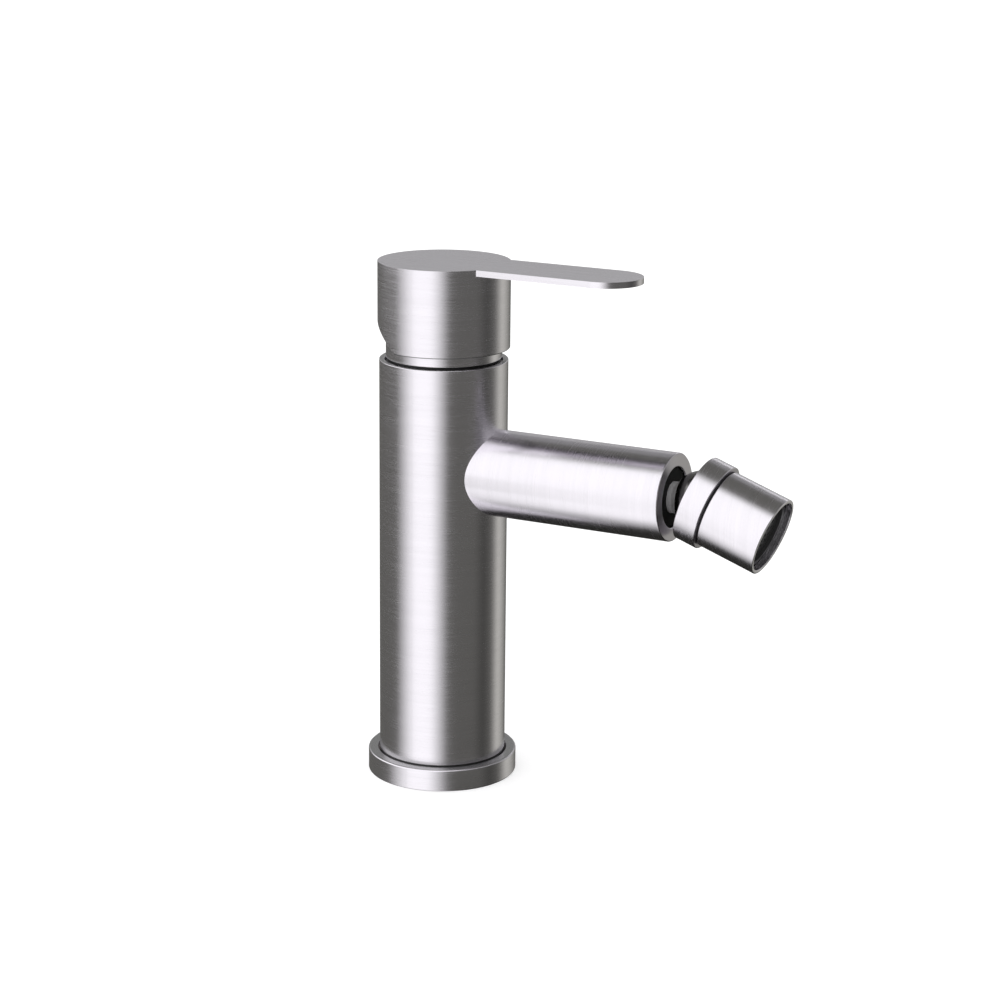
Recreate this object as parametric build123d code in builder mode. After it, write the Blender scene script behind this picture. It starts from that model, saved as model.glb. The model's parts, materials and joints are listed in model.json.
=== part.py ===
"""Single-lever bidet mixer with a horizontal spout and a ball-jointed nozzle.

The origin is the centre of the underside, where the mixer stands on the deck.
+Z is up, the spout points to -Y, and all lengths are in millimetres.
"""
import os
from math import acos, asin, cos, radians, sin, sqrt, tan

from build123d import *

os.makedirs("parts", exist_ok=True)

# Fits, cuts and edges shared by all pieces
press_gap = 0.03
running_gap = 0.1
free_gap = 0.3
overrun = 2.0
edge_break = 0.3

# Body tube
body_radius = 20.0
body_wall = 1.7
body_rim_height = 133.9
body_foot_height = 2.0
body_bore = body_radius - body_wall

# Base flange round the foot of the body, with a gasket in its underside
flange_radius = 23.6
flange_height = 7.0
flange_edge_round = 0.9
flange_shadow_gap = 0.15
flange_inner_chamfer = 0.7
gasket_radius = 21.3
gasket_width = 1.4
gasket_height = 1.4

# Mounting foot that closes the tube, with two hose ports and a stud hole
foot_height = 18.0
port_radius = 4.5
port_depth = 9.0
port_spread = 7.5
port_passage_radius = 3.1
stud_hole_radius = 3.4
stud_hole_depth = 12.0
stud_setback = 10.0
mouth_chamfer = 0.5

# Inlet tubes from the foot to the valve body
inlet_tube_radius = 4.0
inlet_tube_wall = 0.8
inlet_socket_depth = 4.0

# Spout
spout_drop = 34.2
spout_radius = 13.46
spout_wall = 1.7
spout_reach = 79.1
spout_end_wall = 4.0
spout_mouth_radius = 9.2
spout_bore = spout_radius - spout_wall
spout_height = body_rim_height - spout_drop

# Ball stem screwed into a seat inside the spout's end
spout_seat_length = 10.0
ball_thread_radius = 6.0
ball_thread_length = 11.0
ball_shoulder_radius = 7.4
ball_shoulder_height = 1.2
stem_o_ring_section = 1.0
ball_radius = 9.2
ball_offset = 9.0
ball_lip_radius = 6.0
ball_neck_radius = 4.8
ball_flare_length = 1.9
ball_bore_radius = 3.2
ball_key_across = 8.0
ball_key_depth = 4.0
ball_front_share = 0.8
neck_ring_gap = 0.2
neck_ring_height = 1.0

# Nozzle, measured along its own axis from the centre of the ball
nozzle_tilt = 19.5
collar_back = -2.4
collar_width = 7.2
collar_radius = 13.35
collar_thread_radius = 11.2
collar_pocket_start = 0.8
sleeve_radius = 12.13
sleeve_wall = 1.2
sleeve_thread_start = 2.7
nozzle_reach = 24.0
ball_o_ring_section = 1.4
seat_outer_radius = 9.9
seat_share = 0.225
seat_rim_width = 0.53
partition_share = 0.108
partition_bore_radius = 8.2
aerator_gasket_height = 1.5
aerator_radius = 10.7
aerator_wall = 1.4
recess_share = 0.092
screen_height = 1.0
screen_drop = 1.2
housing_ledge_radius_share = 0.78
screen_hole_radius = 0.55
screen_hole_pitch = 2.1
screen_rings = 3

# Handle: a cap cut away obliquely behind, with a flat paddle flush with its top
handle_gap = 3.7
handle_height = 26.8
handle_radius = 20.5
handle_wall = 1.6
lever_thickness = 1.9
lever_width = 22.6
lever_reach = 66.1
rear_cut_start = 6.1
rear_cut_angle = 35.8

# Lever pivot and the stem that carries the handle
pivot_rise = 5.6
lever_lift = 25.0
pin_radius = 1.5
stem_width = 6.0
stem_length = 22.0
stem_heel = 3.4
stem_arm = 8.5
stem_arm_radius = 1.8
stem_tip_radius = 2.4
hub_rise = 15.0
hub_radius = 6.8
socket_spare_depth = 0.4
screw_rise = 18.7
screw_radius = 2.45
screw_length = 10.0
screw_key_across = 2.5
screw_key_depth = 3.0
screw_boss_radius = 3.8
plug_radius = 2.95
plug_length = 3.0
plug_sink = 0.35

# Dome ring between the body and the handle
valve_top_drop = 4.9
dome_wall = 1.6
dome_rise = 6.5
handle_play = 0.55

# Cartridge, listed from the rotor down to the seal
rotor_drop = 6.4
rotor_flange_radius = 11.5
rotor_flange_height = 1.9
rotor_radius = 9.7
rotor_rise = 6.5
rotor_slot_length = 11.0
slot_gap = 0.2
carrier_height = 5.3
carrier_floor = 0.8
moving_disc_radius = 8.9
moving_disc_height = 3.45
mixing_recess_radius = 4.6
mixing_recess_offset = 1.5
mixing_recess_depth = 1.8
disc_film = 0.05
fixed_disc_height = 4.0
fixed_disc_radius = 11.7
inlet_hole_radius = 1.8
inlet_hole_spread = 5.0
inlet_hole_advance = 3.0
outlet_hole_radius = 2.4
outlet_hole_setback = 4.5
cartridge_base_height = 7.0
cartridge_base_spigot = 3.0
cartridge_radius = 12.7
cartridge_wall = 0.85
housing_neck_wall = 1.1
housing_shoulder_wall = 1.2
housing_top_drop = 0.8
seal_height = 1.5
seal_radius = 8.6
peg_radius = 1.1
peg_spread = 11.0
peg_depth = 1.6

# Valve body that carries the cartridge and feeds the spout
valve_below_spout = 17.7
gallery_height = 15.0
gallery_depth = 3.3
valve_o_ring_section = 1.6
valve_o_ring_offset = 2.4
valve_port_radius = 4.0
nut_thread_radius = 14.0
nut_thread_length = 7.5
nut_across = 28.0
nut_lip_height = 2.5

# Heights and radii that follow from the sizes above
pivot_height = body_rim_height + pivot_rise
handle_bottom = body_rim_height + handle_gap
handle_top = handle_bottom + handle_height
handle_bore = handle_radius - handle_wall
valve_top = body_rim_height - valve_top_drop
valve_bottom = spout_height - valve_below_spout
valve_radius = body_bore - press_gap
rotor_bottom = pivot_height - rotor_drop
carrier_top = rotor_bottom - free_gap
moving_disc_top = carrier_top - carrier_height
moving_disc_bottom = moving_disc_top - moving_disc_height
fixed_disc_top = moving_disc_bottom - disc_film
fixed_disc_bottom = fixed_disc_top - fixed_disc_height
cartridge_bottom = fixed_disc_bottom - cartridge_base_height
cartridge_seat = cartridge_bottom - seal_height
chamber_radius = cartridge_radius - cartridge_wall
housing_bottom = fixed_disc_bottom - cartridge_base_spigot
shoulder_bottom = rotor_bottom + rotor_flange_height + running_gap
shoulder_top = shoulder_bottom + housing_shoulder_wall
housing_neck_bore = rotor_radius + running_gap
housing_neck_radius = housing_neck_bore + housing_neck_wall
housing_top = pivot_height + rotor_rise - housing_top_drop
rest_lean = lever_lift / 2
disc_rest = stem_arm * sin(radians(rest_lean))
ball_distance = spout_reach + ball_offset
tilt_cos = cos(radians(nozzle_tilt))
tilt_sin = sin(radians(nozzle_tilt))

# Planes and axes: the profile planes have the axis as local x
stem_plane = Plane(
    origin=(0, 0, pivot_height),
    x_dir=(1, 0, 0),
    z_dir=(0, -sin(radians(rest_lean)), cos(radians(rest_lean))),
)
spout_plane = Plane(origin=(0, 0, spout_height), x_dir=(0, -1, 0), z_dir=(-1, 0, 0))
spout_axis = Axis((0, 0, spout_height), (0, -1, 0))
ball_centre = (0, -ball_distance, spout_height)
nozzle_plane = Plane(origin=ball_centre, x_dir=(0, -tilt_cos, -tilt_sin), z_dir=(-1, 0, 0))
nozzle_axis = Axis(ball_centre, (0, -tilt_cos, -tilt_sin))
nozzle_face = Plane(origin=ball_centre, x_dir=(1, 0, 0), z_dir=(0, -tilt_cos, -tilt_sin))


def ring_points(inner, outer, start, end):
    """Corners of a plain ring's half section, radius first."""
    return [(inner, start), (outer, start), (outer, end), (inner, end)]


def on_arc(radius, angle):
    """A point of the dome's half section, at an angle above the pivot."""
    return (radius * cos(angle), pivot_height + radius * sin(angle))


def sphere_depth(radius, ring_radius):
    """How far from a sphere's centre its circle of the given radius lies."""
    return sqrt(radius**2 - ring_radius**2)


# Base flange: a low ring with a rounded upper edge and a groove for its gasket
with BuildPart() as base_flange:
    with BuildSketch(Plane.XZ):
        with BuildLine():
            Polyline(
                *ring_points(body_radius + flange_shadow_gap, flange_radius, 0, flange_height),
                close=True,
            )
        make_face()
    revolve(axis=Axis.Z)
    flange_top_edges = base_flange.edges().group_by(Axis.Z)[-1].sort_by(SortBy.RADIUS)
    fillet(flange_top_edges[-1], radius=flange_edge_round)
    chamfer(flange_top_edges[0], length=flange_inner_chamfer)
    with BuildSketch():
        Circle(gasket_radius + gasket_width + press_gap)
        Circle(gasket_radius - press_gap, mode=Mode.SUBTRACT)
    extrude(amount=gasket_height + press_gap, mode=Mode.SUBTRACT)

with BuildPart() as flange_gasket:
    with BuildSketch():
        Circle(gasket_radius + gasket_width)
        Circle(gasket_radius, mode=Mode.SUBTRACT)
    extrude(amount=gasket_height)

# Mounting foot: a stepped plug that the tube stands on
port_places = [(-port_spread, 0), (port_spread, 0)]
with BuildPart() as mounting_foot:
    with BuildSketch():
        Circle(body_radius)
    extrude(amount=body_foot_height)
    with BuildSketch(Plane.XY.offset(body_foot_height)):
        Circle(body_bore - press_gap)
    extrude(amount=foot_height - body_foot_height)
    chamfer(mounting_foot.edges().group_by(Axis.Z)[-1], length=edge_break)
    with BuildSketch():
        with Locations(*port_places):
            Circle(port_radius)
    extrude(amount=port_depth, mode=Mode.SUBTRACT)
    with BuildSketch():
        with Locations((0, stud_setback)):
            Circle(stud_hole_radius)
    extrude(amount=stud_hole_depth, mode=Mode.SUBTRACT)
    mouth_edges = mounting_foot.edges().group_by(Axis.Z)[0].filter_by(GeomType.CIRCLE)
    chamfer(mouth_edges.sort_by(SortBy.RADIUS)[:-1], length=mouth_chamfer)
    with BuildSketch(Plane.XY.offset(foot_height - inlet_socket_depth)):
        with Locations(*port_places):
            Circle(inlet_tube_radius + press_gap)
    extrude(amount=inlet_socket_depth + overrun, mode=Mode.SUBTRACT)
    with BuildSketch(Plane.XY.offset(port_depth / 2)):
        with Locations(*port_places):
            Circle(port_passage_radius)
    extrude(amount=foot_height, mode=Mode.SUBTRACT)


def build_inlet_tube(place):
    """A straight tube between its sockets in the foot and in the valve body."""
    start = foot_height - inlet_socket_depth
    end = valve_bottom + inlet_socket_depth
    with BuildPart() as inlet_tube:
        with BuildSketch(Plane.XY.offset(start)):
            with Locations(place):
                Circle(inlet_tube_radius)
                Circle(inlet_tube_radius - inlet_tube_wall, mode=Mode.SUBTRACT)
        extrude(amount=end - start)
    return inlet_tube


hot_inlet_tube = build_inlet_tube(port_places[0])
cold_inlet_tube = build_inlet_tube(port_places[1])

# Body tube, with the round hole that lets the spout in
with BuildPart() as body_tube:
    with BuildSketch(Plane.XY.offset(body_foot_height)):
        Circle(body_radius)
        Circle(body_bore, mode=Mode.SUBTRACT)
    extrude(amount=body_rim_height - body_foot_height)
    chamfer(body_tube.edges().group_by(Axis.Z)[-1], length=edge_break)
    with BuildSketch(spout_plane):
        Rectangle(body_radius + overrun, spout_bore, align=(Align.MIN, Align.MIN))
    revolve(axis=spout_axis, mode=Mode.SUBTRACT)

# Spout: a tube coped to the body, with a thicker end that leaves a round mouth
with BuildPart() as spout_tube:
    with BuildSketch(spout_plane):
        with BuildLine():
            Polyline(
                (0, spout_bore),
                (spout_reach - spout_end_wall, spout_bore),
                (spout_reach - spout_end_wall, spout_mouth_radius),
                (spout_reach, spout_mouth_radius),
                (spout_reach, spout_radius),
                (0, spout_radius),
                close=True,
            )
        make_face()
    revolve(axis=spout_axis)
    with BuildSketch(Plane.XY.offset(spout_height - spout_radius - overrun)):
        Circle(body_radius + press_gap)
    extrude(amount=2 * (spout_radius + overrun), mode=Mode.SUBTRACT)
    chamfer(
        spout_tube.faces().sort_by(Axis.Y)[0].edges(),
        length=edge_break,
    )

# Threaded seat inside the spout's end
seat_front = spout_reach - spout_end_wall - press_gap
with BuildPart() as spout_seat:
    with BuildSketch(spout_plane):
        with BuildLine():
            Polyline(
                (seat_front - spout_seat_length, ball_thread_radius + press_gap),
                (seat_front, ball_thread_radius + press_gap),
                (seat_front, spout_bore - press_gap),
                (seat_front - spout_seat_length, spout_bore - press_gap),
                close=True,
            )
        make_face()
    revolve(axis=spout_axis)
    chamfer(spout_seat.edges().filter_by(GeomType.CIRCLE), length=edge_break)

# Ball stem: thread, shoulder, a neck that flares to the ball's sharp lip, and a key socket
shoulder_start = seat_front + stem_o_ring_section + press_gap
ball_front = ball_distance + ball_front_share * ball_radius
ball_lip = ball_distance - sphere_depth(ball_radius, ball_lip_radius)
shoulder_end = shoulder_start + ball_shoulder_height
with BuildPart() as ball_stem:
    with BuildSketch(spout_plane):
        with BuildLine():
            front_radius = ball_radius * sqrt(1 - ball_front_share**2)
            outline = Polyline(
                (ball_lip - ball_flare_length, ball_neck_radius),
                (shoulder_end, ball_neck_radius),
                (shoulder_end, ball_shoulder_radius),
                (shoulder_start, ball_shoulder_radius),
                (shoulder_start, ball_thread_radius),
                (seat_front - ball_thread_length, ball_thread_radius),
                (seat_front - ball_thread_length, ball_bore_radius),
                (ball_front, ball_bore_radius),
                (ball_front, front_radius),
            )
            flare = TangentArc(outline @ 0, (ball_lip, ball_lip_radius), tangent=(1, 0))
            ThreePointArc(outline @ 1, (ball_distance, ball_radius), flare @ 1)
        make_face()
    revolve(axis=spout_axis)
    with BuildSketch(Plane(origin=(0, -ball_front, spout_height), z_dir=(0, 1, 0))):
        RegularPolygon(ball_key_across / 2, side_count=6, major_radius=False)
    extrude(amount=ball_key_depth, mode=Mode.SUBTRACT)

with BuildPart() as stem_o_ring:
    with BuildSketch(spout_plane):
        with Locations(
            (
                seat_front + press_gap / 2 + stem_o_ring_section / 2,
                ball_thread_radius + press_gap + stem_o_ring_section / 2,
            )
        ):
            Rectangle(stem_o_ring_section, stem_o_ring_section)
    revolve(axis=spout_axis)

# Loose ring round the neck that closes the spout's mouth
with BuildPart() as neck_ring:
    with BuildSketch(Plane(origin=(0, -shoulder_end - running_gap, spout_height), z_dir=(0, -1, 0))):
        Circle(spout_mouth_radius - neck_ring_gap)
        Circle(ball_neck_radius + running_gap, mode=Mode.SUBTRACT)
    extrude(amount=neck_ring_height)
    chamfer(neck_ring.edges().group_by(Axis.Y)[0].sort_by(SortBy.RADIUS)[-1], length=edge_break)

# Nozzle collar: a nut whose lip follows the ball and holds it
lip_sphere = ball_radius + running_gap
collar_front = collar_back + collar_width
with BuildPart() as nozzle_collar:
    with BuildSketch(nozzle_plane):
        with BuildLine():
            lip_back = (collar_back, sqrt(lip_sphere**2 - collar_back**2))
            lip_front = (collar_pocket_start, sqrt(lip_sphere**2 - collar_pocket_start**2))
            ThreePointArc(lip_back, (0, lip_sphere), lip_front)
            Polyline(
                lip_front,
                (collar_pocket_start, collar_thread_radius + press_gap),
                (collar_front, collar_thread_radius + press_gap),
                (collar_front, collar_radius),
                (collar_back, collar_radius),
                lip_back,
            )
        make_face()
    revolve(axis=nozzle_axis)
    collar_rims = nozzle_collar.edges().filter_by(GeomType.CIRCLE).sort_by(SortBy.RADIUS)
    chamfer(collar_rims[-2:], length=edge_break)

with BuildPart() as ball_o_ring:
    with BuildSketch(nozzle_plane):
        with Locations(
            (
                collar_pocket_start + running_gap + ball_o_ring_section / 2,
                lip_sphere + running_gap + ball_o_ring_section / 2,
            )
        ):
            Rectangle(ball_o_ring_section, ball_o_ring_section)
    revolve(axis=nozzle_axis)

# Ball seat: a plastic cup that the ball turns in
seat_back = sleeve_thread_start
seat_end = seat_back + seat_share * nozzle_reach
cup_end = seat_end - seat_rim_width
seat_bore_radius = sphere_depth(lip_sphere, cup_end)
with BuildPart() as ball_seat:
    with BuildSketch(nozzle_plane):
        with BuildLine():
            cup_back = (seat_back, sqrt(lip_sphere**2 - seat_back**2))
            cup_front = (cup_end, seat_bore_radius)
            cup_middle_angle = (acos(seat_back / lip_sphere) + asin(seat_bore_radius / lip_sphere)) / 2
            cup_middle = (lip_sphere * cos(cup_middle_angle), lip_sphere * sin(cup_middle_angle))
            ThreePointArc(cup_back, cup_middle, cup_front)
            Polyline(
                cup_front,
                (seat_end, seat_bore_radius),
                (seat_end, seat_outer_radius),
                (seat_back, seat_outer_radius),
                cup_back,
            )
        make_face()
    revolve(axis=nozzle_axis)

# Nozzle sleeve: thread, seat pocket, partition and the thin-walled outlet
partition_start = seat_end + running_gap
partition_end = partition_start + partition_share * nozzle_reach
with BuildPart() as nozzle_sleeve:
    with BuildSketch(nozzle_plane):
        with BuildLine():
            Polyline(
                (sleeve_thread_start, seat_outer_radius + running_gap),
                (partition_start, seat_outer_radius + running_gap),
                (partition_start, partition_bore_radius),
                (partition_end, partition_bore_radius),
                (partition_end, sleeve_radius - sleeve_wall),
                (nozzle_reach, sleeve_radius - sleeve_wall),
                (nozzle_reach, sleeve_radius),
                (collar_front + press_gap, sleeve_radius),
                (collar_front + press_gap, collar_thread_radius),
                (sleeve_thread_start, collar_thread_radius),
                close=True,
            )
        make_face()
    revolve(axis=nozzle_axis)
    outlet_edges = nozzle_sleeve.edges().filter_by(GeomType.CIRCLE).sort_by(nozzle_axis)
    chamfer(outlet_edges[-2:], length=edge_break)

with BuildPart() as aerator_gasket:
    with BuildSketch(nozzle_face.offset(partition_end)):
        Circle(aerator_radius)
        Circle(partition_bore_radius, mode=Mode.SUBTRACT)
    extrude(amount=aerator_gasket_height)

# Aerator housing: a short tube with a ledge that carries the screen
aerator_back = partition_end + aerator_gasket_height
aerator_front = nozzle_reach * (1 - recess_share)
screen_front = aerator_front - screen_drop
ledge_front = screen_front - screen_height - press_gap
ledge_radius = housing_ledge_radius_share * aerator_radius
with BuildPart() as aerator_housing:
    with BuildSketch(nozzle_plane):
        with BuildLine():
            Polyline(
                (aerator_back, ledge_radius),
                (ledge_front, ledge_radius),
                (ledge_front, aerator_radius - aerator_wall),
                (aerator_front, aerator_radius - aerator_wall),
                (aerator_front, aerator_radius),
                (aerator_back, aerator_radius),
                close=True,
            )
        make_face()
    revolve(axis=nozzle_axis)

# Aerator screen: a thin disc with rings of holes
with BuildPart() as aerator_screen:
    with BuildSketch(nozzle_face.offset(screen_front - screen_height)):
        Circle(aerator_radius - aerator_wall - press_gap)
        Circle(screen_hole_radius, mode=Mode.SUBTRACT)
        for ring in range(1, screen_rings + 1):
            with PolarLocations(ring * screen_hole_pitch, 6 * ring):
                Circle(screen_hole_radius, mode=Mode.SUBTRACT)
    extrude(amount=screen_height)

# Valve body: a turned block with a water gallery level with the spout
gallery_bottom = spout_height - gallery_height / 2
gallery_top = spout_height + gallery_height / 2
valve_o_ring_heights = [gallery_bottom - valve_o_ring_offset, gallery_top + valve_o_ring_offset]
groove_radius = body_bore - valve_o_ring_section - press_gap
inlet_hole_places = [
    (-inlet_hole_spread, -inlet_hole_advance),
    (inlet_hole_spread, -inlet_hole_advance),
]
outlet_hole_place = (0, outlet_hole_setback)
peg_places = [(-peg_spread, 0), (peg_spread, 0)]
with BuildPart() as valve_body:
    with BuildSketch(Plane.XY.offset(valve_bottom)):
        Circle(valve_radius)
    extrude(amount=valve_top - valve_bottom)
    with BuildSketch(Plane.XY.offset(gallery_bottom)):
        Circle(valve_radius + overrun)
        Circle(valve_radius - gallery_depth, mode=Mode.SUBTRACT)
    extrude(amount=gallery_height, mode=Mode.SUBTRACT)
    for height in valve_o_ring_heights:
        with BuildSketch(Plane.XY.offset(height - valve_o_ring_section / 2 - press_gap)):
            Circle(valve_radius + overrun)
            Circle(groove_radius - press_gap, mode=Mode.SUBTRACT)
        extrude(amount=valve_o_ring_section + 2 * press_gap, mode=Mode.SUBTRACT)
    with BuildSketch(Plane.XY.offset(cartridge_seat)):
        Circle(cartridge_radius + press_gap)
    extrude(amount=valve_top, mode=Mode.SUBTRACT)
    with BuildSketch(Plane.XY.offset(valve_top - nut_thread_length)):
        Circle(nut_thread_radius + press_gap)
    extrude(amount=valve_top, mode=Mode.SUBTRACT)
    with BuildSketch(Plane.XY.offset(valve_bottom)):
        with Locations(*port_places):
            Circle(inlet_tube_radius + press_gap)
    extrude(amount=inlet_socket_depth, mode=Mode.SUBTRACT)
    with BuildSketch(Plane.XY.offset(valve_bottom)):
        with Locations(*inlet_hole_places):
            Circle(inlet_hole_radius)
    extrude(amount=valve_top, mode=Mode.SUBTRACT)
    with BuildSketch(Plane.XY.offset(spout_height)):
        with Locations(outlet_hole_place):
            Circle(outlet_hole_radius)
    extrude(amount=valve_top, mode=Mode.SUBTRACT)
    with BuildSketch(Plane(origin=(0, outlet_hole_setback, spout_height), z_dir=(0, 1, 0))):
        Circle(valve_port_radius)
    extrude(amount=valve_radius, mode=Mode.SUBTRACT)
    with BuildSketch(Plane.XY.offset(cartridge_seat - peg_depth - press_gap)):
        with Locations(*peg_places):
            Circle(peg_radius + press_gap)
    extrude(amount=peg_depth + overrun, mode=Mode.SUBTRACT)

with BuildPart() as valve_o_rings:
    with BuildSketch(Plane.XZ):
        for height in valve_o_ring_heights:
            with Locations((body_bore - press_gap - valve_o_ring_section / 2, height)):
                Rectangle(valve_o_ring_section, valve_o_ring_section)
    revolve(axis=Axis.Z)

# Cartridge seal and base, drilled like the fixed disc above them
with BuildPart() as cartridge_seal:
    with BuildSketch(Plane.XY.offset(cartridge_seat)):
        Circle(seal_radius)
        with Locations(*inlet_hole_places):
            Circle(inlet_hole_radius, mode=Mode.SUBTRACT)
        with Locations(outlet_hole_place):
            Circle(outlet_hole_radius, mode=Mode.SUBTRACT)
    extrude(amount=seal_height)

with BuildPart() as cartridge_base:
    with BuildSketch(Plane.XY.offset(cartridge_bottom)):
        Circle(cartridge_radius)
    extrude(amount=cartridge_base_height - cartridge_base_spigot)
    with BuildSketch(Plane.XY.offset(housing_bottom)):
        Circle(chamber_radius - press_gap)
    extrude(amount=cartridge_base_spigot)
    with BuildSketch(Plane.XY.offset(cartridge_bottom)):
        with Locations(*peg_places):
            Circle(peg_radius)
    extrude(amount=-(seal_height + peg_depth))
    with BuildSketch(Plane.XY.offset(cartridge_bottom)):
        with Locations(*inlet_hole_places):
            Circle(inlet_hole_radius)
        with Locations(outlet_hole_place):
            Circle(outlet_hole_radius)
    extrude(amount=cartridge_base_height, mode=Mode.SUBTRACT)

# Ceramic discs: the upper one slides and turns on the lower one
with BuildPart() as fixed_disc:
    with BuildSketch(Plane.XY.offset(fixed_disc_bottom)):
        Circle(fixed_disc_radius)
        with Locations(*inlet_hole_places):
            Circle(inlet_hole_radius, mode=Mode.SUBTRACT)
        with Locations(outlet_hole_place):
            Circle(outlet_hole_radius, mode=Mode.SUBTRACT)
    extrude(amount=fixed_disc_height)

with BuildPart() as moving_disc:
    with BuildSketch(Plane.XY.offset(moving_disc_bottom)):
        with Locations((0, disc_rest)):
            Circle(moving_disc_radius)
    extrude(amount=moving_disc_height)
    with BuildSketch(Plane.XY.offset(moving_disc_bottom)):
        with Locations((0, disc_rest + mixing_recess_offset)):
            Circle(mixing_recess_radius)
    extrude(amount=mixing_recess_depth, mode=Mode.SUBTRACT)

# Disc carrier, with the socket that the stem's tip pushes
with BuildPart() as disc_carrier:
    with BuildSketch(Plane.XY.offset(moving_disc_top)):
        with Locations((0, disc_rest)):
            Circle(moving_disc_radius)
    extrude(amount=carrier_height)
    chamfer(disc_carrier.edges().group_by(Axis.Z)[-1], length=edge_break)
    with BuildSketch(Plane.XY.offset(moving_disc_top + carrier_floor)):
        with Locations((0, disc_rest)):
            Circle(stem_tip_radius + free_gap)
    extrude(amount=carrier_height, mode=Mode.SUBTRACT)

# Rotor: turns in the housing's neck and is slotted for the stem
with BuildPart() as rotor:
    with BuildSketch(Plane.XY.offset(rotor_bottom)):
        Circle(rotor_flange_radius)
    extrude(amount=rotor_flange_height)
    with BuildSketch(Plane.XY.offset(rotor_bottom)):
        Circle(rotor_radius)
    extrude(amount=rotor_drop + rotor_rise)
    chamfer(rotor.edges().group_by(Axis.Z)[-1], length=edge_break)
    with BuildSketch(Plane.XY.offset(rotor_bottom)):
        Rectangle(stem_width + 2 * slot_gap, rotor_slot_length)
    extrude(amount=rotor_drop + rotor_rise, mode=Mode.SUBTRACT)
    with BuildSketch(Plane.YZ):
        with Locations((0, pivot_height)):
            Circle(pin_radius + press_gap)
    extrude(amount=rotor_flange_radius, both=True, mode=Mode.SUBTRACT)

with BuildPart() as pivot_pin:
    with BuildSketch(Plane.YZ):
        with Locations((0, pivot_height)):
            Circle(pin_radius)
    extrude(amount=rotor_radius - free_gap, both=True)

with BuildPart() as cartridge_housing:
    with BuildSketch(Plane.XZ):
        with BuildLine():
            Polyline(
                (chamber_radius, housing_bottom),
                (cartridge_radius, housing_bottom),
                (cartridge_radius, shoulder_top),
                (housing_neck_radius, shoulder_top),
                (housing_neck_radius, housing_top),
                (housing_neck_bore, housing_top),
                (housing_neck_bore, shoulder_bottom),
                (chamber_radius, shoulder_bottom),
                close=True,
            )
        make_face()
    revolve(axis=Axis.Z)

# Retaining nut: thread below, hexagon above, and a lip on the housing's shoulder
nut_top = shoulder_top + nut_lip_height
with BuildPart() as retaining_nut:
    with BuildSketch(Plane.XY.offset(valve_top)):
        RegularPolygon(nut_across / 2, side_count=6, major_radius=False)
    extrude(amount=nut_top - valve_top)
    chamfer(retaining_nut.edges().group_by(Axis.Z)[-1], length=edge_break)
    with BuildSketch(Plane.XY.offset(valve_top - nut_thread_length)):
        Circle(nut_thread_radius)
    extrude(amount=nut_thread_length)
    with BuildSketch(Plane.XY.offset(valve_top - nut_thread_length)):
        Circle(cartridge_radius + press_gap)
    extrude(amount=shoulder_top - valve_top + nut_thread_length, mode=Mode.SUBTRACT)
    with BuildSketch(Plane.XY.offset(shoulder_top)):
        Circle(housing_neck_radius + press_gap)
    extrude(amount=nut_lip_height, mode=Mode.SUBTRACT)

# Dome ring: the collar seen in the gap, closing over as a sphere about the pivot
dome_collar_radius = body_bore - running_gap
dome_bore = dome_collar_radius - dome_wall
dome_sphere = handle_bore - handle_play
dome_inner_sphere = dome_sphere - dome_wall
outer_start = acos(dome_collar_radius / dome_sphere)
outer_end = asin(dome_rise / dome_sphere)
inner_start = acos(dome_bore / dome_inner_sphere)
inner_end = asin(dome_rise / dome_inner_sphere)
with BuildPart() as dome_ring:
    with BuildSketch(Plane.XZ):
        with BuildLine():
            Polyline(
                on_arc(dome_inner_sphere, inner_start),
                (dome_bore, valve_top),
                (dome_collar_radius, valve_top),
                on_arc(dome_sphere, outer_start),
            )
            ThreePointArc(
                on_arc(dome_sphere, outer_start),
                on_arc(dome_sphere, (outer_start + outer_end) / 2),
                on_arc(dome_sphere, outer_end),
            )
            Line(on_arc(dome_sphere, outer_end), on_arc(dome_inner_sphere, inner_end))
            ThreePointArc(
                on_arc(dome_inner_sphere, inner_end),
                on_arc(dome_inner_sphere, (inner_start + inner_end) / 2),
                on_arc(dome_inner_sphere, inner_start),
            )
        make_face()
    revolve(axis=Axis.Z)

# Stem: square above, pivoted on the pin, with a ball tip that drives the carrier
with BuildPart() as stem:
    with BuildSketch(stem_plane.offset(-stem_heel)):
        Rectangle(stem_width, stem_width)
    extrude(amount=stem_heel + stem_length)
    chamfer(stem.faces().sort_by(Axis.Z)[-1].edges(), length=edge_break)
    with BuildSketch(stem_plane.offset(-stem_arm)):
        Circle(stem_arm_radius)
    extrude(amount=stem_arm - stem_heel)
    with Locations(stem_plane.offset(-stem_arm)):
        Sphere(stem_tip_radius)
    with BuildSketch(Plane.YZ):
        with Locations((0, pivot_height)):
            Circle(pin_radius + running_gap)
    extrude(amount=stem_width, both=True, mode=Mode.SUBTRACT)

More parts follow.
